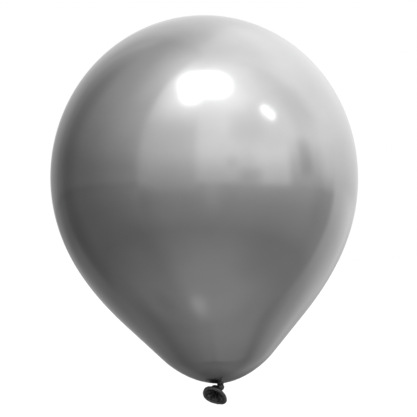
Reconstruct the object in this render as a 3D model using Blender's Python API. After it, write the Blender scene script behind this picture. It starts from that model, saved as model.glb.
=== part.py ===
"""A tied latex party balloon with a chrome finish, inflated to 280 mm across, at its real size.

Metres, +Z up. The origin is on the balloon's axis, in the middle of the bare neck, where it is tied or held.
Seen from the front (looking along +Y) the tail leans to the left and towards the viewer.
"""

import math

import bmesh
import bpy
from mathutils import Matrix, Vector

MM = 0.001
SEAT_GAP = 0.3 * MM

# Bulb: an ellipse over the crown, a curved belly, a straight cone and a rounded shoulder round the neck.
EQUATOR_RADIUS = 140.0 * MM
CROWN_RISE = 147.5 * MM
BULB_HEIGHT_BELOW_EQUATOR = 188.0 * MM
BULB_BOTTOM = 1.0 * MM
WALL = 0.4 * MM
CONE_HALF_ANGLE = math.radians(43.0)
FLANK_RADIUS = 81.1 * MM
FLANK_DROP = 130.3 * MM
BELLY_HANDLES = (54.8 * MM, 45.7 * MM)
SHOULDER_RADIUS = 49.9 * MM
SHOULDER_HANDLES = (17.7 * MM, 16.5 * MM)
SHOULDER_END_SLOPE = math.radians(5.5)
BULB_SEGMENTS = 48
CROWN_STEPS = 11
BELLY_STEPS = 8
SHOULDER_STEPS = 7

# Neck: the gathered stem between the bulb and the knot.
NECK_RADIUS = 2.8 * MM
NECK_TOP = 4.0 * MM
NECK_BOTTOM = -0.2 * MM
NECK_TAPER = 0.93
NECK_SHIFT = Vector((-0.1, -0.2, 0)) * MM
NECK_PLEATS = 7
NECK_PLEAT_DEPTH = 0.3 * MM
NECK_TWIST = math.radians(70)
NECK_SEGMENTS = 42
NECK_STEPS = 9

# Knot: a ball of tied latex, with the loop of the overhand knot lying in a groove round it.
KNOT_CENTRE = Vector((-0.4, -0.5, -3.6)) * MM
KNOT_RADIUS = 3.1 * MM
LOOP_LEAN = math.radians(28)
LOOP_RISE = 1.0 * MM
LOOP_RADIUS = 2.55 * MM
LOOP_STRAND = 0.95 * MM
KNOT_SEGMENTS = 24
LOOP_SEGMENTS = 32
STRAND_SIDES = 10

# Tail: the balloon's open mouth, a pleated funnel that ends in the rolled lip.
TAIL_TURN = math.radians(238.1)
MOUTH_LEAN = math.radians(50.7)
MOUTH_CENTRE = Vector((-5.9, -7.3, -9.4)) * MM
MOUTH_LONG_RADIUS = 10.6 * MM
MOUTH_SHORT_RADIUS = 9.6 * MM
LIP_BEAD = 1.4 * MM
LIP_WAVE = 0.35 * MM
RIM_TUCK = math.radians(68)
THROAT_RADIUS = 1.9 * MM
TAIL_WALL = 0.5 * MM
TAIL_PLEATS = 3
TAIL_PLEAT_DEPTH = 0.8 * MM
TAIL_SEGMENTS = 42
TAIL_STEPS = 8

DOWN = Vector((0, 0, -1))


def clear_scene():
    for old in list(bpy.data.objects):
        bpy.data.objects.remove(old)


def make_material(name, colour, roughness, metallic):
    material = bpy.data.materials.new(name)
    material.use_nodes = True
    shader = material.node_tree.nodes["Principled BSDF"]
    shader.inputs["Base Color"].default_value = (*colour, 1.0)
    shader.inputs["Roughness"].default_value = roughness
    shader.inputs["Metallic"].default_value = metallic
    return material


def add_object(name, data, material=None):
    obj = bpy.data.objects.new(name, data)
    bpy.context.scene.collection.objects.link(obj)
    if material:
        data.materials.append(material)
    return obj


def mesh_from_rings(name, rings, close_ends=True):
    """Rings of equally many points, skinned in order. A ring of one point is a pole."""
    bm = bmesh.new()
    loops = [[bm.verts.new(point) for point in ring] for ring in rings]
    for lower, upper in zip(loops, loops[1:]):
        count = max(len(lower), len(upper))
        for i in range(count):
            corners = [
                lower[i % len(lower)],
                lower[(i + 1) % len(lower)],
                upper[(i + 1) % len(upper)],
                upper[i % len(upper)],
            ]
            bm.faces.new(dict.fromkeys(corners))
    if close_ends:
        for loop in (loops[0], loops[-1]):
            if len(loop) > 1:
                bm.faces.new(loop)
    bmesh.ops.recalc_face_normals(bm, faces=bm.faces)
    mesh = bpy.data.meshes.new(name)
    bm.to_mesh(mesh)
    bm.free()
    mesh.shade_smooth()
    return mesh


def cubic(start, start_handle, end_handle, end, steps):
    """Points along a cubic curve, without its first point."""
    points = []
    for i in range(1, steps + 1):
        t = i / steps
        points.append(
            start * (1 - t) ** 3
            + start_handle * 3 * (1 - t) ** 2 * t
            + end_handle * 3 * (1 - t) * t**2
            + end * t**3
        )
    return points


def bulb_profile():
    """(radius, height over the equator) from the crown down to the rim round the neck."""
    profile = [
        Vector((EQUATOR_RADIUS * math.sin(angle), CROWN_RISE * math.cos(angle)))
        for angle in (math.pi / 2 * i / CROWN_STEPS for i in range(CROWN_STEPS + 1))
    ]
    cone = Vector((-math.sin(CONE_HALF_ANGLE), -math.cos(CONE_HALF_ANGLE)))
    flank = Vector((FLANK_RADIUS, -FLANK_DROP))
    profile += cubic(
        profile[-1],
        profile[-1] - Vector((0, BELLY_HANDLES[0])),
        flank - cone * BELLY_HANDLES[1],
        flank,
        BELLY_STEPS,
    )
    shoulder = flank + cone * (FLANK_RADIUS - SHOULDER_RADIUS) / math.sin(CONE_HALF_ANGLE)
    profile.append(shoulder)
    rim = Vector((NECK_RADIUS + SEAT_GAP, -BULB_HEIGHT_BELOW_EQUATOR))
    inwards = Vector((-math.cos(SHOULDER_END_SLOPE), -math.sin(SHOULDER_END_SLOPE)))
    profile += cubic(
        shoulder,
        shoulder + cone * SHOULDER_HANDLES[0],
        rim - inwards * SHOULDER_HANDLES[1],
        rim,
        SHOULDER_STEPS,
    )
    return profile


def turned(radius, height, segments):
    """A level ring, or one point where the radius is nothing."""
    if radius < 1e-9:
        return [Vector((0, 0, height))]
    return [
        Vector((radius * math.cos(a), radius * math.sin(a), height))
        for a in (2 * math.pi * i / segments for i in range(segments))
    ]


def make_envelope(material):
    """The inflated skin: turned from the profile, hollow, and open only where the neck fills it."""
    equator = BULB_BOTTOM + BULB_HEIGHT_BELOW_EQUATOR
    rings = [turned(r, equator + z, BULB_SEGMENTS) for r, z in bulb_profile()]
    envelope = add_object("envelope", mesh_from_rings("envelope", rings, False), material)
    skin = envelope.modifiers.new("wall", "SOLIDIFY")
    skin.thickness = WALL
    skin.offset = -1
    skin.use_even_offset = True
    return envelope


def make_neck(material):
    """A stem with pleats that twist down into the knot."""
    rings = []
    for step in range(NECK_STEPS + 1):
        t = step / NECK_STEPS
        height = NECK_TOP + (NECK_BOTTOM - NECK_TOP) * t
        below_rim = max(0.0, (BULB_BOTTOM - height) / (BULB_BOTTOM - NECK_BOTTOM))
        middle = NECK_SHIFT * below_rim + Vector((0, 0, height))
        taper = 1 + (NECK_TAPER - 1) * below_rim
        ring = []
        for i in range(NECK_SEGMENTS):
            angle = 2 * math.pi * i / NECK_SEGMENTS
            wave = (1 - math.cos(NECK_PLEATS * angle)) / 2
            radius = (NECK_RADIUS - NECK_PLEAT_DEPTH * wave) * taper
            turn = angle + NECK_TWIST * t
            ring.append(middle + Vector((radius * math.cos(turn), radius * math.sin(turn), 0)))
        rings.append(ring)
    return add_object("neck", mesh_from_rings("neck", rings), material)


def leaning(lean):
    """The direction that leans this far from straight down, towards the tail's side."""
    side = Vector((math.cos(TAIL_TURN), math.sin(TAIL_TURN), 0))
    return DOWN * math.cos(lean) + side * math.sin(lean)


def torus_mesh(name, centre, axis, radius, tube, segments, sides):
    across = axis.orthogonal().normalized()
    along = axis.cross(across)
    bm = bmesh.new()
    loops = []
    for i in range(segments):
        turn = 2 * math.pi * i / segments
        out = across * math.cos(turn) + along * math.sin(turn)
        loops.append(
            [
                bm.verts.new(centre + out * (radius + tube * math.cos(a)) + axis * tube * math.sin(a))
                for a in (2 * math.pi * k / sides for k in range(sides))
            ]
        )
    for one, other in zip(loops, loops[1:] + loops[:1]):
        for k in range(sides):
            bm.faces.new((one[k], other[k], other[(k + 1) % sides], one[(k + 1) % sides]))
    bmesh.ops.recalc_face_normals(bm, faces=bm.faces)
    mesh = bpy.data.meshes.new(name)
    bm.to_mesh(mesh)
    bm.free()
    mesh.shade_smooth()
    return mesh


def make_knot(material):
    """The ball of the knot, with a groove that the loop lies in."""
    mesh = bpy.data.meshes.new("knot")
    bm = bmesh.new()
    bmesh.ops.create_uvsphere(bm, u_segments=KNOT_SEGMENTS, v_segments=KNOT_SEGMENTS // 2, radius=KNOT_RADIUS)
    bm.to_mesh(mesh)
    bm.free()
    mesh.shade_smooth()
    knot = add_object("knot", mesh, material)
    knot.location = KNOT_CENTRE

    axis = leaning(LOOP_LEAN)
    centre = KNOT_CENTRE - axis * LOOP_RISE
    groove_mesh = torus_mesh(
        "groove", centre, axis, LOOP_RADIUS, LOOP_STRAND + SEAT_GAP, LOOP_SEGMENTS, STRAND_SIDES
    )
    groove = add_object("groove", groove_mesh)
    groove.hide_render = True
    groove.display_type = "WIRE"
    cut = knot.modifiers.new("groove", "BOOLEAN")
    cut.operation = "DIFFERENCE"
    cut.object = groove

    loop_mesh = torus_mesh("knot_loop", centre, axis, LOOP_RADIUS, LOOP_STRAND, LOOP_SEGMENTS, STRAND_SIDES)
    add_object("knot_loop", loop_mesh, material)
    return knot


def lip_frame():
    """The mouth's outward direction, its long axis and its short axis."""
    normal = leaning(MOUTH_LEAN)
    long_axis = Vector((-normal.z, 0, normal.x)).normalized()
    return normal, long_axis, normal.cross(long_axis)


def lip_point(angle):
    """A point on the line that the rolled lip follows: an oval with a slight three-sided wave."""
    normal, long_axis, short_axis = lip_frame()
    out = long_axis * MOUTH_LONG_RADIUS * math.cos(angle) + short_axis * MOUTH_SHORT_RADIUS * math.sin(angle)
    wave = LIP_WAVE * math.cos(TAIL_PLEATS * angle)
    return MOUTH_CENTRE + out * (1 + wave / MOUTH_LONG_RADIUS) + normal * wave


def make_tail_skirt(material):
    """The pleated funnel from the knot out to the lip. Its throat rests all round on the knot's ball."""
    normal, long_axis, short_axis = lip_frame()
    throat_axis = (MOUTH_CENTRE - KNOT_CENTRE).normalized()
    seat = KNOT_RADIUS + SEAT_GAP
    throat_centre = KNOT_CENTRE + throat_axis * math.sqrt(seat**2 - THROAT_RADIUS**2)
    throat_long = (long_axis - throat_axis * long_axis.dot(throat_axis)).normalized()
    throat_short = throat_axis.cross(throat_long)
    behind_bead = LIP_BEAD + SEAT_GAP + TAIL_WALL / 2
    rings = []
    for step in range(TAIL_STEPS + 1):
        t = step / TAIL_STEPS
        pleat = TAIL_PLEAT_DEPTH * math.sin(math.pi * t)
        ring = []
        for i in range(TAIL_SEGMENTS):
            angle = 2 * math.pi * i / TAIL_SEGMENTS
            inner = throat_centre + THROAT_RADIUS * (
                throat_long * math.cos(angle) + throat_short * math.sin(angle)
            )
            rim = lip_point(angle)
            inwards = (MOUTH_CENTRE - rim).normalized()
            backwards = inwards * math.cos(RIM_TUCK) - normal * math.sin(RIM_TUCK)
            outer = rim + backwards * behind_bead
            ring.append(inner.lerp(outer, t) + normal * pleat * math.cos(TAIL_PLEATS * angle))
        rings.append(ring)
    mesh = mesh_from_rings("tail_skirt", rings, False)
    skirt = add_object("tail_skirt", mesh, material)
    wall = skirt.modifiers.new("wall", "SOLIDIFY")
    wall.thickness = TAIL_WALL
    wall.offset = 0
    wall.use_even_offset = True
    return skirt


def make_rolled_lip(material):
    """The bead rolled at the mouth's rim."""
    curve = bpy.data.curves.new("rolled_lip", "CURVE")
    curve.dimensions = "3D"
    curve.bevel_depth = LIP_BEAD
    curve.bevel_resolution = 3
    line = curve.splines.new("POLY")
    line.use_cyclic_u = True
    line.points.add(TAIL_SEGMENTS - 1)
    for i, point in enumerate(line.points):
        point.co = (*lip_point(2 * math.pi * i / TAIL_SEGMENTS), 1)
    return add_object("rolled_lip", curve, material)


def hang_on_pivot(pieces):
    """Parents the tail's pieces to an empty at the knot's centre, which the tail flexes about."""
    pivot = add_object("tail_pivot", None)
    pivot.location = KNOT_CENTRE
    for piece in pieces:
        piece.parent = pivot
        piece.matrix_parent_inverse = Matrix.Translation(-KNOT_CENTRE)


def main():
    clear_scene()
    chrome_skin = make_material("chrome_skin", (0.46, 0.46, 0.47), 0.16, 1.0)
    dark_latex = make_material("dark_latex", (0.06, 0.06, 0.065), 0.42, 0.35)
    make_envelope(chrome_skin)
    make_neck(dark_latex)
    make_knot(dark_latex)
    hang_on_pivot([make_tail_skirt(dark_latex), make_rolled_lip(dark_latex)])


main()
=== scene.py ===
"""The looks of the chrome balloon: mirror-like skin, neck, knot, tail and rolled lip, in a pale studio.

Metres, in the frame of the solids: +Z along the balloon's axis, the origin at the bare neck.
"""

import math

import bpy
import numpy as np
from mathutils import Matrix, Vector


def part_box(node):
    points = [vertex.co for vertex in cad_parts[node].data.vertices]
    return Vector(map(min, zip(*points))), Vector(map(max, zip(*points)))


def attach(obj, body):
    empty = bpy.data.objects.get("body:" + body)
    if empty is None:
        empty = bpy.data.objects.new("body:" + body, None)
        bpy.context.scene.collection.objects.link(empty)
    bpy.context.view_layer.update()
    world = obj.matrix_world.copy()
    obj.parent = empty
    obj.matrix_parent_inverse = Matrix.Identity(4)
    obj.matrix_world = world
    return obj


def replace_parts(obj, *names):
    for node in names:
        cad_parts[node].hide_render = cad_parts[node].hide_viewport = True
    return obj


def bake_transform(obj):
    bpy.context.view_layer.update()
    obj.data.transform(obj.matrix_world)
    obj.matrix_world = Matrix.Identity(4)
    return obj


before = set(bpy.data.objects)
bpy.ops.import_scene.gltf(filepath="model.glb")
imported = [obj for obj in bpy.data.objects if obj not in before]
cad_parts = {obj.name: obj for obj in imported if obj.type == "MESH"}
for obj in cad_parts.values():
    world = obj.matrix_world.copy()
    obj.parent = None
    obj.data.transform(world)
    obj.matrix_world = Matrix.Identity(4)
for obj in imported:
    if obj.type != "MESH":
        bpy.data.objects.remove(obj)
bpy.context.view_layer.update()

MM = 0.001
ORIGIN = Vector((0, 0, 0))

# Bulb, as in the solids, but for the slight bow of its axis and a slightly higher shoulder.
ENVELOPE_LOW, ENVELOPE_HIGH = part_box("envelope")
EQUATOR_RADIUS = (ENVELOPE_HIGH.x - ENVELOPE_LOW.x) / 2
EQUATOR_HEIGHT = ENVELOPE_LOW.z + 188.0 * MM
CROWN_RISE = 147.5 * MM
CROWN_HEIGHT = EQUATOR_HEIGHT + CROWN_RISE
CROWN_SPOT = Vector((-6.0, -3.0, 0)) * MM + Vector((0, 0, CROWN_HEIGHT))
AXIS_BOW = Vector((-1.1, 0, 0)) * MM
CONE_HALF_ANGLE = math.radians(43.0)
FLANK_RADIUS = 81.1 * MM
FLANK_DROP = 130.3 * MM
BELLY_HANDLES = (54.8 * MM, 45.7 * MM)
SHOULDER_RADIUS = 49.9 * MM
SHOULDER_HANDLES = (16.1 * MM, 17.4 * MM)
SHOULDER_END_SLOPE = math.radians(5.5)
BULB_SEGMENTS = 264
CROWN_STEPS = 64
BELLY_STEPS = 52
CONE_STEPS = 10
SHOULDER_STEPS = 46

# Neck: the skin turns down round a small fillet and gathers into pleats.
NECK_RADIUS = 2.8 * MM
NECK_FILLET = 1.3 * MM
NECK_BOTTOM = -1.6 * MM
NECK_BOTTOM_SHIFT = Vector((-0.1, -0.25, 0)) * MM
NECK_BOTTOM_TAPER = 0.96
NECK_STEPS = 60
NECK_PLEAT_DEPTH = 0.2 * MM
NECK_PLEAT_REACH = 13.0 * MM
NECK_PLEAT_FADE = 2.2
NECK_TWIST = math.radians(50)

# Knot: its core, and the loop that wraps round it, wide at its front right and narrow at its back left.
CORE_CENTRE = Vector((-0.1, -0.4, -2.6)) * MM
CORE_RADIUS = 3.2 * MM
CORE_TWIST = 1.1
CORE_LUMPS = 0.04
CORE_PLEAT_DEPTH = 0.16 * MM
CORE_SEGMENTS = 160
CORE_STEPS = 80
LOOP_CENTRE = Vector((-0.3, -0.4, -2.4)) * MM
LOOP_AXIS = Vector((-0.66, -0.30, -0.69)).normalized()
LOOP_WIDE_END = Vector((0.62, -0.5, -0.5))
LOOP_RADIUS = 2.5 * MM
LOOP_THICKNESS = 1.2 * MM
LOOP_WIDTHS = (1.0 * MM, 2.4 * MM)
LOOP_FLATNESS = 0.8
LOOP_TURNS = 1.14
LOOP_PITCH = 1.3 * MM
LOOP_STEPS = 220
LOOP_SIDES = 72
LOOP_SWELL = 0.05
LOOP_SWELL_RATE = 11
LOOP_FOLD_DEPTH = 0.07
LOOP_FOLD_DRIFT = 2.2
# The loop's ends: the share of its length over which each tucks in, how far, and how much thinner it gets.
LOOP_TUCK_LENGTH = 0.14
LOOP_TUCK_DEPTH = 0.75
LOOP_TUCK_THINNING = 0.45

# Tail: the open mouth of the balloon.
TAIL_TURN = math.radians(238.1)
MOUTH_LEAN = math.radians(50.7)
MOUTH_CENTRE = Vector((-5.85, -7.3, -9.4)) * MM
MOUTH_LONG_RADIUS = 10.25 * MM
MOUTH_SHORT_RADIUS = 9.6 * MM
LIP_BEAD = 1.45 * MM
LIP_WAVE = 0.35 * MM
LIP_STEPS = 240
LIP_SIDES = 40
# The lip's lumps: their height as a share of its radius, their count and their shift.
LIP_LUMPS = ((0.035, 5, 1.1), (0.025, 11, 0.3))
# The groove along the roll: its place round the bead and how far that sways, in degrees. Its width is in
# radians, and its depth is a share of the bead's radius.
GROOVE_PLACE = 205
GROOVE_SWAY = 14
GROOVE_WIDTH = 0.16
GROOVE_DEPTH = 0.11
# Near the lip the funnel heads for it from this far behind it and inside it.
LIP_ENTRY_BACK = 4.2 * MM
LIP_ENTRY_IN = 1.4 * MM
TAIL_WALL = 0.42 * MM
TAIL_SEGMENTS = 240
TAIL_STEPS = 44
TAIL_PLEAT_DEPTH = 2.3 * MM
TAIL_PLEAT_TURN = math.radians(22)
TAIL_PLEAT_FADE = 1.1
# Below 1 the pleats are deepest nearer the throat.
OUTER_PLEAT_PEAK = 0.9
INNER_PLEAT_PEAK = 1.0
THROAT_CENTRE = Vector((-0.9, -0.7, -2.7)) * MM
THROAT_RADIUS = 2.45 * MM
THROAT_REACH = Vector((-3.0, -2.0, -0.65)) * MM
THROAT_FLARE = 1.0 * MM
PIT_CENTRE = Vector((-3.4, -2.7, -5.0)) * MM
PIT_RADIUS = 0.35 * MM
PIT_REACH = Vector((-0.6, -0.8, -0.8)) * MM
PIT_FLARE = 2.6 * MM

# Pleats: their count, how far they sway out of even places, and the shift of that sway.
NECK_PLEATS = (9, 0.9, 0.8)
CORE_PLEATS = (7, 0.7, 0.4)
LOOP_FOLDS = (5, 0.5, 1.0)
TAIL_PLEATS = (8, 0.55, 2.2)
SECOND_SWAY = 0.5
SECOND_SHIFT = 2.6
RIDGE_ROUNDNESS = 0.45
CREASE_SOFTNESS = 0.12

# Chrome skin: its mirror, then its duller parts, each full up to a first distance and gone at a second.
SKIN_BRIGHTNESS = (0.465, 0.495)
SKIN_ROUGHNESS = (0.13, 0.155)
SKIN_TINT = (1.0, 1.0, 1.01)
FLAKE_CONTRAST = (0.97, 1.03)
THICK_REACH = (44 * MM, 92 * MM)
THICK_BRIGHTNESS = 0.4
DULL_REACH = (8 * MM, 46 * MM)
DULL_ROUGHNESS = 0.3
NECK_REACH = (2 * MM, 20 * MM)
NECK_BRIGHTNESS = 0.36
NECK_ROUGHNESS = 0.6
CROWN_REACH = (2.5 * MM, 8.5 * MM)
CROWN_BRIGHTNESS = 0.24
CROWN_ROUGHNESS = 0.27
CROWN_STRENGTH = 0.55
SKIN_BUMP = (0.07, 0.03 * MM)

# Unstretched latex of the neck, the knot and the tail. Inside the mouth its colour is darkened with painted
# shade.
LATEX_BRIGHTNESS = (0.062, 0.102)
LATEX_ROUGHNESS = (0.33, 0.45)
LATEX_TINT = (1.0, 1.0, 1.03)
LATEX_METALLIC = 0.7
# Painted shade inside the mouth: full up to the first distance from its middle, gone at the second.
MOUTH_SHADE_REACH = (6 * MM, 9.5 * MM)
MOUTH_PAINTED_SHADE = 0.5
PATCH_RELIEF = 3.0
LATEX_BUMP = (0.25, 0.03 * MM)

# Noises, as scale, detail and roughness, and the range that most of their values lie in.
CLOUDS = (22.0, 4.0, 0.55)
FLAKES = (1900.0, 2.0, 0.6)
SKIN_GRAIN = (900.0, 3.0, 0.6)
LATEX_PATCHES = (420.0, 4.0, 0.6)
LATEX_GRAIN = (4200.0, 3.0, 0.6)
NOISE_RANGE = (0.3, 0.7)

# The photograph: its size, its scale, where it shows the origin, and its camera.
PHOTO_SIDE = 417
PHOTO_SCALE = 0.9118 * MM
PHOTO_ORIGIN = (220.35, 384.1)
PHOTO_ROLL = math.radians(4.15)
CAMERA_DISTANCE = 2.0
SENSOR = 36.0

# What the camera sees behind the balloon, and the floor under it.
BACKGROUND = (1.0, 1.0, 1.0, 1.0)
FLOOR_COLOUR = (0.87, 0.87, 0.87, 1.0)
FLOOR_ROUGHNESS = 0.9
FLOOR_HEIGHT = -0.30
FLOOR_RADIUS = 14.0
FLOOR_SIDES = 64

DOWN = Vector((0, 0, -1))


# Geometry helpers


def cubic_at(points, t):
    """Where a cubic curve through its first and last control points is at t, from 0 to 1."""
    start, reach, last, end = points
    return start * (1 - t) ** 3 + 3 * reach * (1 - t) ** 2 * t + 3 * last * (1 - t) * t**2 + end * t**3


def cubic(points, steps):
    """Points along such a curve."""
    return cubic_at([np.array(point, float) for point in points], np.linspace(0, 1, steps + 1)[:, None])


def smoothstep(value, low, high):
    """Smoothly from 0, where value is low or less, to 1."""
    t = np.clip((value - low) / (high - low), 0, 1)
    return t * t * (3 - 2 * t)


def add_mesh(name, points, faces, material):
    mesh = bpy.data.meshes.new(name)
    mesh.from_pydata([tuple(p) for p in points], [], faces)
    mesh.validate()
    mesh.shade_smooth()
    mesh.materials.append(material)
    obj = bpy.data.objects.new(name, mesh)
    bpy.context.scene.collection.objects.link(obj)
    return obj


def grid_object(name, rows, material, closed_rows=False, start_pole=None, end_pole=None):
    """Skins rows of points, each a closed ring. closed_rows joins the last ring to the first."""
    rows = np.array(rows)
    count, around = rows.shape[:2]
    points = list(rows.reshape(-1, 3))
    faces = []
    for i in range(count if closed_rows else count - 1):
        below = i * around
        above = (i + 1) % count * around
        for k in range(around):
            n = (k + 1) % around
            faces.append((below + k, below + n, above + n, above + k))
    for pole, ring in ((start_pole, 0), (end_pole, (count - 1) * around)):
        if pole is None:
            continue
        points.append(np.array(pole))
        for k in range(around):
            n = (k + 1) % around
            ends = (ring + n, ring + k) if ring == 0 else (ring + k, ring + n)
            faces.append((*ends, len(points) - 1))
    return add_mesh(name, points, faces, material)


def flipped(obj):
    """Turns the faces of a piece outwards, where the order of its rings has them look inwards."""
    obj.data.flip_normals()
    return obj


def leaning(lean):
    """The direction that leans this far from straight down, towards the tail's side."""
    side = Vector((math.cos(TAIL_TURN), math.sin(TAIL_TURN), 0))
    return DOWN * math.cos(lean) + side * math.sin(lean)


# Materials


class Graph:
    """A node tree, with short calls for the nodes that the materials and the studio use."""

    def __init__(self, tree):
        self.tree = tree

    def node(self, kind, inputs=(), **settings):
        made = self.tree.nodes.new(kind)
        for key, value in settings.items():
            setattr(made, key, value)
        for key, value in dict(inputs).items():
            self.put(made.inputs[key], value)
        return made

    def put(self, socket, value):
        """Links a socket to another node's output, or sets it to a number."""
        if isinstance(value, bpy.types.NodeSocket):
            self.tree.links.new(value, socket)
        else:
            socket.default_value = value

    def math(self, operation, a, b=0.0):
        return self.node("ShaderNodeMath", {0: a, 1: b}, operation=operation).outputs[0]

    def line(self, value, low, high, at_low, at_high, **settings):
        """Straight from at_low, where value is low or less, to at_high, where it is high or more."""
        inputs = {"Value": value, "From Min": low, "From Max": high, "To Min": at_low, "To Max": at_high}
        return self.node("ShaderNodeMapRange", inputs, **settings).outputs["Result"]

    def step(self, value, low, high, at_low=0.0, at_high=1.0):
        """The same, but smoothly."""
        return self.line(value, low, high, at_low, at_high, interpolation_type="SMOOTHSTEP")

    def fall(self, value, low, high):
        """Smoothly from 1, where value is low or less, to 0."""
        return self.step(value, low, high, 1.0, 0.0)

    def mix(self, factor, a, b):
        return self.node("ShaderNodeMix", {0: factor, 2: a, 3: b}).outputs[0]

    def distance(self, a, point):
        inputs = {0: a, 1: tuple(point)}
        return self.node("ShaderNodeVectorMath", inputs, operation="DISTANCE").outputs["Value"]

    def dot(self, a, direction):
        inputs = {0: a, 1: tuple(direction)}
        return self.node("ShaderNodeVectorMath", inputs, operation="DOT_PRODUCT").outputs["Value"]

    def place(self):
        """Where a point lies in its piece's own frame, which is that of the solids at rest."""
        return self.node("ShaderNodeTexCoord").outputs["Object"]

    def noise(self, vector, scale, detail, roughness):
        inputs = {"Vector": vector, "Scale": scale, "Detail": detail, "Roughness": roughness}
        return self.node("ShaderNodeTexNoise", inputs).outputs["Fac"]

    def spread(self, noise, low, high):
        """A noise brought to the range from low to high."""
        return self.line(noise, *NOISE_RANGE, low, high)

    def bump(self, height, strength, distance):
        inputs = {"Height": height, "Strength": strength, "Distance": distance}
        return self.node("ShaderNodeBump", inputs).outputs["Normal"]

    def grey(self, value, tint):
        """A colour from one brightness and a slight tint."""
        parts = [self.math("MULTIPLY", value, channel) for channel in tint]
        return self.node("ShaderNodeCombineColor", dict(enumerate(parts))).outputs[0]


def new_material(name):
    material = bpy.data.materials.new(name)
    material.use_nodes = True
    return material, Graph(material.node_tree), material.node_tree.nodes["Principled BSDF"]


def chrome_skin():
    """Stretched latex full of metal flakes: a slightly blurred mirror, duller where it is thick."""
    material, graph, shader = new_material("chrome_skin")
    place = graph.place()
    near = graph.distance(place, ORIGIN)
    thick = graph.fall(near, *THICK_REACH)
    dull = graph.fall(near, *DULL_REACH)
    neck = graph.fall(near, *NECK_REACH)
    crown = graph.fall(graph.distance(place, CROWN_SPOT), *CROWN_REACH)
    clouds = graph.noise(place, *CLOUDS)
    flakes = graph.noise(place, *FLAKES)
    bright = graph.spread(clouds, *SKIN_BRIGHTNESS)
    bright = graph.math("MULTIPLY", bright, graph.spread(flakes, *FLAKE_CONTRAST))
    bright = graph.mix(thick, bright, THICK_BRIGHTNESS)
    bright = graph.mix(neck, bright, NECK_BRIGHTNESS)
    bright = graph.mix(graph.math("MULTIPLY", crown, CROWN_STRENGTH), bright, CROWN_BRIGHTNESS)
    graph.put(shader.inputs["Base Color"], graph.grey(bright, SKIN_TINT))
    rough = graph.spread(clouds, *SKIN_ROUGHNESS)
    rough = graph.mix(dull, rough, DULL_ROUGHNESS)
    rough = graph.mix(neck, rough, NECK_ROUGHNESS)
    rough = graph.mix(crown, rough, CROWN_ROUGHNESS)
    graph.put(shader.inputs["Roughness"], rough)
    shader.inputs["Metallic"].default_value = 1.0
    grain = graph.noise(place, *SKIN_GRAIN)
    graph.put(shader.inputs["Normal"], graph.bump(grain, *SKIN_BUMP))
    return material


def dark_latex():
    """The same latex unstretched: dense and satin, with a faint metallic sheen, and painted shade inside
    the tail's mouth.
    """
    material, graph, shader = new_material("dark_latex")
    place = graph.place()
    patches = graph.noise(place, *LATEX_PATCHES)
    grain = graph.noise(place, *LATEX_GRAIN)
    # Painted shade: the colour is darker inside the mouth, where shade falls.
    inside = graph.step(graph.distance(place, MOUTH_CENTRE), *MOUTH_SHADE_REACH, MOUTH_PAINTED_SHADE, 1.0)
    bright = graph.math("MULTIPLY", graph.spread(patches, *LATEX_BRIGHTNESS), inside)
    graph.put(shader.inputs["Base Color"], graph.grey(bright, LATEX_TINT))
    graph.put(shader.inputs["Roughness"], graph.spread(patches, *LATEX_ROUGHNESS))
    shader.inputs["Metallic"].default_value = LATEX_METALLIC
    height = graph.math("ADD", graph.math("MULTIPLY", patches, PATCH_RELIEF), grain)
    graph.put(shader.inputs["Normal"], graph.bump(height, *LATEX_BUMP))
    return material


# Bulb and neck


def bulb_profile():
    """(radius, height) from just off the crown's pole down to the end of the shoulder."""
    angles = np.linspace(0, math.pi / 2, CROWN_STEPS + 1)[1:]
    crown = np.stack([EQUATOR_RADIUS * np.sin(angles), CROWN_RISE * np.cos(angles)], 1)
    cone = np.array([-math.sin(CONE_HALF_ANGLE), -math.cos(CONE_HALF_ANGLE)])
    flank = np.array([FLANK_RADIUS, -FLANK_DROP])
    equator = np.array([EQUATOR_RADIUS, 0])
    handle = equator - [0, BELLY_HANDLES[0]]
    belly = cubic([equator, handle, flank - cone * BELLY_HANDLES[1], flank], BELLY_STEPS)[1:]
    shoulder = flank + cone * (FLANK_RADIUS - SHOULDER_RADIUS) / math.sin(CONE_HALF_ANGLE)
    straight = flank + (shoulder - flank) * np.linspace(0, 1, CONE_STEPS + 1)[1:, None]
    rim = np.array([NECK_RADIUS + NECK_FILLET, ENVELOPE_LOW.z - EQUATOR_HEIGHT])
    inwards = np.array([-math.cos(SHOULDER_END_SLOPE), -math.sin(SHOULDER_END_SLOPE)])
    ends = [shoulder, shoulder + cone * SHOULDER_HANDLES[0], rim - inwards * SHOULDER_HANDLES[1], rim]
    rounded = cubic(ends, SHOULDER_STEPS)[1:]
    profile = np.concatenate([crown, belly, straight, rounded])
    profile[:, 1] += EQUATOR_HEIGHT
    return profile


def neck_profile(start):
    """(radius, height) from the end of the shoulder round the fillet and down into the knot."""
    turn = np.linspace(0, math.pi / 2, NECK_STEPS // 2 + 1)[1:]
    fillet = start - NECK_FILLET * np.stack([np.sin(turn), 1 - np.cos(turn)], 1)
    heights = np.linspace(fillet[-1, 1], NECK_BOTTOM, NECK_STEPS // 2 + 1)[1:]
    stem = np.stack([np.full(len(heights), fillet[-1, 0]), heights], 1)
    return np.concatenate([fillet, stem])


def pleats(angles, count, sway, shift):
    """Uneven pleats round an axis: 1 on their rounded ridges, -1 in the sharper creases between them."""
    phase = count * angles / 2 + sway * np.sin(angles + shift)
    phase += SECOND_SWAY * sway * np.sin(2 * angles + SECOND_SHIFT * shift)
    return 2 * (np.cos(phase) ** 2 + CREASE_SOFTNESS**2) ** RIDGE_ROUNDNESS - 1


def axis_shift(height):
    """How far the bulb's axis bows aside at a height."""
    t = min(max(height / CROWN_HEIGHT, 0.0), 1.0)
    return np.array(AXIS_BOW) * math.sin(math.pi * t) ** 2


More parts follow.
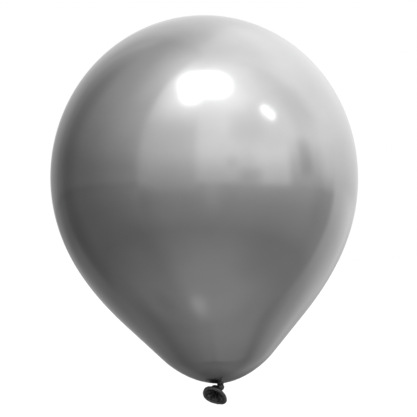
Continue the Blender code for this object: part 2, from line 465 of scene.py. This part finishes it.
def skin_rings(profile):
    """The rings of the skin, with pleats that gather towards the neck and turn with it."""
    angles = np.linspace(0, 2 * math.pi, BULB_SEGMENTS, endpoint=False)
    rings = []
    for radius, height in profile:
        reach = math.hypot(radius - NECK_RADIUS, max(0.0, height - ENVELOPE_LOW.z))
        gather = 1 - smoothstep(reach, 0.0, NECK_PLEAT_REACH)
        down = smoothstep(-height, -ENVELOPE_LOW.z, -NECK_BOTTOM)
        depth = NECK_PLEAT_DEPTH * gather**NECK_PLEAT_FADE
        wave = depth * pleats(angles + NECK_TWIST * down, *NECK_PLEATS)
        outwards = smoothstep(ENVELOPE_LOW.z + NECK_FILLET - height, 0, 2 * NECK_FILLET)
        around = (radius + wave * outwards) * (1 + (NECK_BOTTOM_TAPER - 1) * down)
        heights = height - wave * (1 - outwards)
        ring = np.stack([around * np.cos(angles), around * np.sin(angles), heights], 1)
        rings.append(ring + np.array(NECK_BOTTOM_SHIFT) * down + axis_shift(height))
    return rings


def make_skin(material, neck_material):
    """The bulb, and below it the gathered neck, whose first ring is the bulb's last."""
    bulb = bulb_profile()
    neck = neck_profile(bulb[-1])
    bulb_rings = skin_rings(bulb)
    envelope = grid_object("envelope_skin", bulb_rings, material, start_pole=(0, 0, CROWN_HEIGHT))
    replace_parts(flipped(envelope), "envelope")
    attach(envelope, "balloon")
    neck_rings = [bulb_rings[-1], *skin_rings(neck)]
    stem = grid_object("neck_gather", neck_rings, neck_material)
    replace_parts(flipped(stem), "neck")
    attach(stem, "balloon")


# Knot


def knot_core(material):
    """The ball of the knot: gathered latex whose pleats run from the neck round to the tail."""
    axis = (MOUTH_CENTRE - CORE_CENTRE).normalized()
    across = axis.orthogonal().normalized()
    along = axis.cross(across)
    angles = np.linspace(0, 2 * math.pi, CORE_SEGMENTS, endpoint=False)
    rows = []
    for polar in np.linspace(0, math.pi, CORE_STEPS + 1)[1:-1]:
        twist = angles + CORE_TWIST * math.cos(polar)
        lumps = 1 + CORE_LUMPS * np.sin(2 * angles + 3 * polar) * math.sin(polar)
        ridge = CORE_PLEAT_DEPTH * (pleats(angles, *CORE_PLEATS) - 1) * math.sin(polar)
        radius = CORE_RADIUS * lumps + ridge
        side = np.outer(np.cos(twist), across) + np.outer(np.sin(twist), along)
        outwards = math.sin(polar) * side + math.cos(polar) * np.array(axis)
        rows.append(np.array(CORE_CENTRE) + radius[:, None] * outwards)
    start = CORE_CENTRE + axis * CORE_RADIUS
    end = CORE_CENTRE - axis * CORE_RADIUS
    core = grid_object("knot_core", rows, material, start_pole=start, end_pole=end)
    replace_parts(flipped(core), "knot")
    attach(core, "balloon")


def knot_wrap(material):
    """The knot's loop: a flattened, folded strand that wraps round once and dives in under itself."""
    axis = np.array(LOOP_AXIS)
    wide_end = np.array((LOOP_WIDE_END - LOOP_AXIS * LOOP_WIDE_END.dot(LOOP_AXIS)).normalized())
    front = np.cross(wide_end, axis)
    around = np.linspace(0, 2 * math.pi, LOOP_SIDES, endpoint=False)
    flat = np.sign(np.cos(around)) * np.abs(np.cos(around)) ** LOOP_FLATNESS
    count, sway, shift = LOOP_FOLDS
    rows, middle = [], []
    for i in range(LOOP_STEPS + 1):
        t = i / LOOP_STEPS
        turn = 2 * math.pi * LOOP_TURNS * (t - 0.5)
        tuck = 1 - float(smoothstep(min(t, 1 - t), 0.0, LOOP_TUCK_LENGTH))
        thinner = 1 - LOOP_TUCK_THINNING * tuck
        out = wide_end * math.cos(turn) + front * math.sin(turn)
        wide = 0.5 + 0.5 * math.cos(turn)
        width = (LOOP_WIDTHS[0] * (1 - wide) + LOOP_WIDTHS[1] * wide) * thinner
        thickness = LOOP_THICKNESS * thinner * (1 + LOOP_SWELL * math.sin(LOOP_SWELL_RATE * t))
        radius = LOOP_RADIUS * (1 - LOOP_TUCK_DEPTH * tuck)
        wave = pleats(around, count, sway, shift + LOOP_FOLD_DRIFT * t)
        folds = 1 + LOOP_FOLD_DEPTH * wave * wide**0.5
        centre = np.array(LOOP_CENTRE) + out * radius + axis * LOOP_PITCH * (t - 0.5)
        ring = np.outer(flat * thickness * folds, out) + np.outer(np.sin(around) * width * folds, axis)
        rows.append(centre + ring)
        middle.append(centre)
    wrap = grid_object("knot_wrap", rows, material, start_pole=middle[0], end_pole=middle[-1])
    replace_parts(wrap, "knot_loop")
    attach(wrap, "balloon")


# Tail


def lip_axes():
    """The mouth's outward direction, its long axis and its short axis."""
    normal = leaning(MOUTH_LEAN)
    long_axis = Vector((-normal.z, 0, normal.x)).normalized()
    return normal, long_axis, normal.cross(long_axis)


def lip_points(angles):
    """The line that the rolled lip follows: an oval with a slight three-sided wave."""
    normal, long_axis, short_axis = (np.array(v) for v in lip_axes())
    out = np.outer(MOUTH_LONG_RADIUS * np.cos(angles), long_axis)
    out += np.outer(MOUTH_SHORT_RADIUS * np.sin(angles), short_axis)
    wave = LIP_WAVE * np.cos(3 * angles)[:, None]
    return np.array(MOUTH_CENTRE) + out * (1 + wave / MOUTH_LONG_RADIUS) + normal * wave


def rolled_lip(material):
    """The bead rolled at the mouth's rim: uneven, with the roll's edge as a groove on its inner side."""
    angles = np.linspace(0, 2 * math.pi, LIP_STEPS, endpoint=False)
    centres = lip_points(angles)
    tangents = np.roll(centres, -1, 0) - np.roll(centres, 1, 0)
    tangents /= np.linalg.norm(tangents, axis=1)[:, None]
    normal = np.array(lip_axes()[0])
    around = np.linspace(0, 2 * math.pi, LIP_SIDES, endpoint=False)
    rows = []
    for angle, centre, tangent in zip(angles, centres, tangents):
        up = normal - tangent * (normal @ tangent)
        up /= np.linalg.norm(up)
        out = np.cross(tangent, up)
        lumps = 1
        for share, count, shift in LIP_LUMPS:
            lumps += share * math.sin(count * angle + shift)
        bottom = math.radians(GROOVE_PLACE + GROOVE_SWAY * math.sin(2 * angle))
        groove = np.exp(-(((around - bottom) / GROOVE_WIDTH) ** 2))
        radius = LIP_BEAD * lumps * (1 - GROOVE_DEPTH * groove)
        section = np.outer(np.cos(around), out) + np.outer(np.sin(around), up)
        rows.append(centre + radius[:, None] * section)
    lip = grid_object("lip_bead", rows, material, closed_rows=True)
    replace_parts(flipped(lip), "rolled_lip")
    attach(lip, "tail")


def skirt_surface(curve, spread, wave, peak):
    """Rows of points along a curve from the throat to the lip, with pleats that fade out at both."""
    ridge_way = (spread - np.array(lip_axes()[0])) / 2
    rows = []
    for t in np.linspace(0, 1, TAIL_STEPS + 1):
        fold = TAIL_PLEAT_DEPTH * math.sin(math.pi * t**peak) ** TAIL_PLEAT_FADE
        rows.append(cubic_at(curve, t) - ridge_way * wave * fold)
    return rows


def tail_skirt(material):
    """The pleated funnel between the knot and the lip: bunched at the knot, thin at the lip."""
    normal, long_axis, _ = lip_axes()
    axis = LOOP_AXIS
    throat_long = (long_axis - axis * long_axis.dot(axis)).normalized()
    throat_short = axis.cross(throat_long)
    angles = np.linspace(0, 2 * math.pi, TAIL_SEGMENTS, endpoint=False)
    spread = np.outer(np.cos(angles), throat_long) + np.outer(np.sin(angles), throat_short)
    wave = pleats(angles - TAIL_PLEAT_TURN, *TAIL_PLEATS)[:, None]
    lip = lip_points(angles)
    inwards = np.array(MOUTH_CENTRE) - lip
    inwards /= np.linalg.norm(inwards, axis=1)[:, None]
    behind = np.array(normal) * TAIL_WALL
    end = lip + inwards * (LIP_BEAD - TAIL_WALL / 2)
    last = end - np.array(normal) * LIP_ENTRY_BACK + inwards * LIP_ENTRY_IN
    start = np.array(THROAT_CENTRE) + THROAT_RADIUS * spread
    reach = start + np.array(THROAT_REACH) + THROAT_FLARE * spread
    outer = skirt_surface((start, reach, last - behind, end - behind), spread, wave, OUTER_PLEAT_PEAK)
    start = np.array(PIT_CENTRE) + PIT_RADIUS * spread
    reach = start + np.array(PIT_REACH) + PIT_FLARE * spread
    inner = skirt_surface((start, reach, last, end), spread, wave, INNER_PLEAT_PEAK)
    rows = np.concatenate([outer, inner[::-1]])
    skirt = grid_object("tail_funnel", rows, material, closed_rows=True)
    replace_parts(skirt, "tail_skirt")
    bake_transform(skirt)


# Studio

# The room that the skin mirrors. Angles are in degrees: azimuth 0 is behind the camera, 90 to the right and
# 180 behind the balloon, and elevations are over the level of the camera. First its floor and walls, as the
# radiance at each elevation, straight between the points.
HORIZON = -4.0
HORIZON_EDGE = 1.5
FLOOR_LIGHT = ((-90, 0.42), (-60, 0.40), (-34, 0.32), (-16, 0.42), (-4, 0.56))
WALL_LIGHT = ((-4, 0.74), (3, 0.88), (15, 1.20), (26, 1.28), (48, 1.32), (90, 1.08))
# Then what darkens or lightens it: the angle and the softness of each of its four edges, and a factor.
PANELS = (
    # name, (from azimuth, edge), (to azimuth, edge), (from elevation, edge), (to elevation, edge), factor
    ("left side of the room", (-163, 16), (-49.5, 3), (-6, 2), (80, 20), 0.58),
    ("left side of the floor", (-163, 16), (-45, 20), (-75, 20), (-6, 2), 0.70),
    ("light end of that floor", (-172, 6), (-131, 6), (-42, 10), (-17, 4), 1.20),
    ("dark curtain on the left", (-152, 14), (-70, 40), (-32, 35), (50, 35), 0.47),
    ("light strip beside the curtain", (-149, 4), (-140, 4), (-8, 6), (56, 6), 1.19),
    ("fold of the curtain", (-131, 5), (-113, 9), (-32, 15), (46, 12), 0.74),
    ("foot of the left wall", (-150, 20), (-49, 12), (2, 7), (22, 22), 0.80),
    ("wall left of the door", (-49.5, 3), (-6, 3), (-4, 2), (39, 8), 0.84),
    ("shaded end of that wall", (-49.5, 3), (-10, 28), (-24, 16), (50, 20), 0.82),
    ("foot of that wall", (-49.5, 3), (-6, 3), (-8.5, 1.5), (-4, 1.5), 1.10),
    ("dark corner above that wall", (-62, 6), (-38, 7), (40, 5), (62, 7), 0.87),
    ("light patch in the door", (-2, 5), (24, 12), (12, 10), (38, 8), 1.03),
    ("floor by the door", (0, 4), (12, 4), (-22, 8), (-4, 2), 1.14),
    ("box on a shelf", (17, 2), (24, 2), (6.5, 1.5), (13, 1.5), 0.88),
    ("low bench", (26, 4), (43, 3), (-3, 2), (5, 2), 0.84),
    ("lit part of the wall", (38, 6), (68, 6), (-5, 3), (16, 6), 1.13),
    ("wall below the ceiling", (44, 12), (94, 12), (43, 5), (62, 6), 0.93),
    ("shaded top of the wall", (22, 6), (48, 8), (24, 6), (44, 6), 0.86),
    ("wall above the stand", (79, 5), (106, 8), (23, 6), (44, 8), 0.88),
    ("wall behind the stand", (66, 2), (96, 8), (-4, 2), (16, 8), 0.83),
    ("stand", (76, 2), (87, 2), (2, 3), (19, 4), 0.75),
    ("right wall", (100, 6), (164, 14), (-30, 10), (75, 20), 1.10),
    ("shaded middle of the right wall", (98, 10), (172, 8), (8, 5), (38, 8), 0.94),
    ("shaded end of the floor on the right", (92, 8), (112, 3), (-22, 12), (0, 3), 0.84),
    ("backdrop where it reaches the floor", (113.5, 2.5), (162, 10), (-44, 14), (-4, 2), 1.33),
    ("lighter part of it", (130, 12), (160, 10), (-34, 12), (-4, 2), 1.20),
    ("floor behind", (114, 10), (244, 14), (-120, 1), (-48, 9), 0.70),
    ("dark end of that floor", (160, 10), (200, 10), (-70, 20), (-18, 5), 0.58),
    ("its darkest strip", (171, 6), (189, 6), (-54, 8), (-8, 3), 0.75),
    ("floor on the left", (-57, 10), (-20, 20), (-60, 10), (-30, 10), 0.88),
    ("floor on the right", (40, 20), (120, 10), (-60, 10), (-35, 10), 0.85),
    ("left end of the backdrop", (172, 10), (200, 10), (10, 10), (75, 10), 0.77),
    ("dark foot of that end", (189, 4), (205, 4), (-9, 4), (17, 14), 0.72),
)
# Last the lamps, rounded rectangles that add their radiance, and a shade that takes some away.
LAMPS = (
    # name, azimuth, elevation, half width, half height, corner radius, edge, radiance
    ("softbox at the ceiling", 1, 65, 13.2, 7.0, 6, 12, 4.0),
    ("its lower left part", -15, 54.5, 5, 4, 4, 9, 2.5),
    ("its glow", 2, 65, 30, 22, 20, 30, 0.48),
    ("small lamp", 58, 40.3, 1.7, 1.7, 1.7, 2.6, 5.0),
    ("its lower end", 61.4, 36.3, 1.7, 1.7, 1.7, 2.6, 5.0),
    ("their glow", 60, 38, 5, 5, 5, 8, 0.35),
    ("spot near the floor", -31, -79.5, 4.5, 4, 4, 7, 0.16),
    ("shade right below", 180, -88, 28, 6, 6, 11, -0.05),
)
# Each lamp shows on its own side only: in full where the cosine to its middle is this or more.
LAMP_FRONT = 0.2


def through(graph, value, points):
    """The points' second values at value, straight between the points."""
    total = points[0][1]
    for (low, at_low), (high, at_high) in zip(points, points[1:]):
        total = graph.math("ADD", graph.line(value, low, high, 0.0, at_high - at_low), total)
    return total


def panel_mask(graph, azimuth, elevation, sides):
    """1 inside the panel's four sides, 0 outside. Azimuths count from its middle, so it may pass 180."""
    west, east, low, high = sides
    middle = (west[0] + east[0]) / 2
    wrap = {0: graph.math("SUBTRACT", azimuth, middle), 1: 180.0, 2: -180.0}
    across = graph.node("ShaderNodeMath", wrap, operation="WRAP").outputs[0]
    masks = [
        graph.step(across, west[0] - middle - west[1], west[0] - middle + west[1]),
        graph.fall(across, east[0] - middle - east[1], east[0] - middle + east[1]),
        graph.step(elevation, low[0] - low[1], low[0] + low[1]),
        graph.fall(elevation, high[0] - high[1], high[0] + high[1]),
    ]
    product = masks[0]
    for mask in masks[1:]:
        product = graph.math("MULTIPLY", product, mask)
    return product


def lamp_mask(graph, direction, azimuth, elevation, half_width, half_height, corner, edge):
    """1 inside a rounded rectangle round a direction, 0 outside."""
    a, e = math.radians(azimuth), math.radians(elevation)
    centre = Vector((math.sin(a) * math.cos(e), -math.cos(a) * math.cos(e), math.sin(e)))
    right = Vector((math.cos(a), math.sin(a), 0))
    up = right.cross(-centre)
    beyond = []
    for side, half in ((right, half_width), (up, half_height)):
        offset = graph.math("ABSOLUTE", graph.dot(direction, side))
        past = graph.math("SUBTRACT", offset, math.sin(math.radians(max(half - corner, 0.0))))
        beyond.append(graph.math("MAXIMUM", past, 0.0))
    squares = [graph.math("MULTIPLY", part, part) for part in beyond]
    distance = graph.math("SQRT", graph.math("ADD", *squares))
    near, far = (math.radians(corner + side * edge / 2) for side in (-1, 1))
    mask = graph.fall(distance, near, far)
    return graph.math("MULTIPLY", mask, graph.step(graph.dot(direction, centre), 0.0, LAMP_FRONT))


def room_light(graph, direction):
    """The room's radiance in a direction, with the floor and walls level for the camera."""
    parts = graph.node("ShaderNodeSeparateXYZ", {0: direction}).outputs
    backwards = graph.math("MULTIPLY", parts[1], -1.0)
    azimuth = graph.math("DEGREES", graph.math("ARCTAN2", parts[0], backwards))
    elevation = graph.math("DEGREES", graph.math("ARCSINE", parts[2]))
    floor = through(graph, elevation, FLOOR_LIGHT)
    wall = through(graph, elevation, WALL_LIGHT)
    light = graph.mix(graph.step(elevation, HORIZON - HORIZON_EDGE, HORIZON + HORIZON_EDGE), floor, wall)
    for _, *sides, factor in PANELS:
        mask = panel_mask(graph, azimuth, elevation, sides)
        light = graph.math("MULTIPLY", light, graph.line(mask, 0.0, 1.0, 1.0, factor))
    for _, *shape, radiance in LAMPS:
        mask = lamp_mask(graph, direction, *shape)
        light = graph.math("ADD", light, graph.math("MULTIPLY", mask, radiance))
    return light


def studio_world():
    """A white background for the camera, and the room that lights the balloon and shows in its skin."""
    world = bpy.data.worlds.new("studio")
    bpy.context.scene.world = world
    world.use_nodes = True
    world.node_tree.nodes.clear()
    graph = Graph(world.node_tree)
    direction = graph.node("ShaderNodeTexCoord").outputs["Generated"]
    turn = {"Vector": direction, "Axis": (0.0, 1.0, 0.0), "Angle": -PHOTO_ROLL}
    level = graph.node("ShaderNodeVectorRotate", turn, rotation_type="AXIS_ANGLE").outputs[0]
    sees = graph.node("ShaderNodeLightPath").outputs["Is Camera Ray"]
    room = graph.node("ShaderNodeBackground", {"Color": room_light(graph, level)})
    plain = graph.node("ShaderNodeBackground", {"Color": BACKGROUND})
    both = graph.node("ShaderNodeMixShader", {0: sees, 1: room.outputs[0], 2: plain.outputs[0]})
    graph.node("ShaderNodeOutputWorld", {"Surface": both.outputs[0]})


def pale_floor():
    """A plain pale floor under the balloon, clear from below. The skin mirrors the room instead of it."""
    material, graph, shader = new_material("floor")
    shader.inputs["Base Color"].default_value = FLOOR_COLOUR
    shader.inputs["Roughness"].default_value = FLOOR_ROUGHNESS
    below = graph.node("ShaderNodeNewGeometry").outputs["Backfacing"]
    clear = graph.node("ShaderNodeBsdfTransparent")
    both = graph.node("ShaderNodeMixShader", {0: below, 1: shader.outputs[0], 2: clear.outputs[0]})
    graph.put(material.node_tree.nodes["Material Output"].inputs["Surface"], both.outputs[0])
    corners = [
        (FLOOR_RADIUS * math.cos(a), FLOOR_RADIUS * math.sin(a), FLOOR_HEIGHT)
        for a in np.linspace(0, 2 * math.pi, FLOOR_SIDES, endpoint=False)
    ]
    floor = add_mesh("pale_floor", corners, [tuple(range(len(corners)))], material)
    floor.visible_glossy = False


def photo_camera():
    """Looks along +Y at the middle of the photograph's frame, rolled so that the crown leans left."""
    right = Vector((math.cos(PHOTO_ROLL), 0, -math.sin(PHOTO_ROLL)))
    up = Vector((math.sin(PHOTO_ROLL), 0, math.cos(PHOTO_ROLL)))
    middle = right * (PHOTO_SIDE / 2 - PHOTO_ORIGIN[0]) + up * (PHOTO_ORIGIN[1] - PHOTO_SIDE / 2)
    camera = bpy.data.objects.new("photo_camera", bpy.data.cameras.new("photo_camera"))
    bpy.context.scene.collection.objects.link(camera)
    back = Vector((0, -1, 0))
    turn = Matrix((right, up, back)).transposed().to_4x4()
    camera.matrix_world = Matrix.Translation(middle * PHOTO_SCALE + back * CAMERA_DISTANCE) @ turn
    camera.data.sensor_width = SENSOR
    camera.data.lens = SENSOR * CAMERA_DISTANCE / (PHOTO_SIDE * PHOTO_SCALE)
    bpy.context.scene.camera = camera


def main():
    skin = chrome_skin()
    latex = dark_latex()
    make_skin(skin, latex)
    knot_core(latex)
    knot_wrap(latex)
    rolled_lip(latex)
    tail_skirt(latex)
    studio_world()
    pale_floor()
    photo_camera()
    bpy.context.scene.view_settings.view_transform = "Standard"


main()
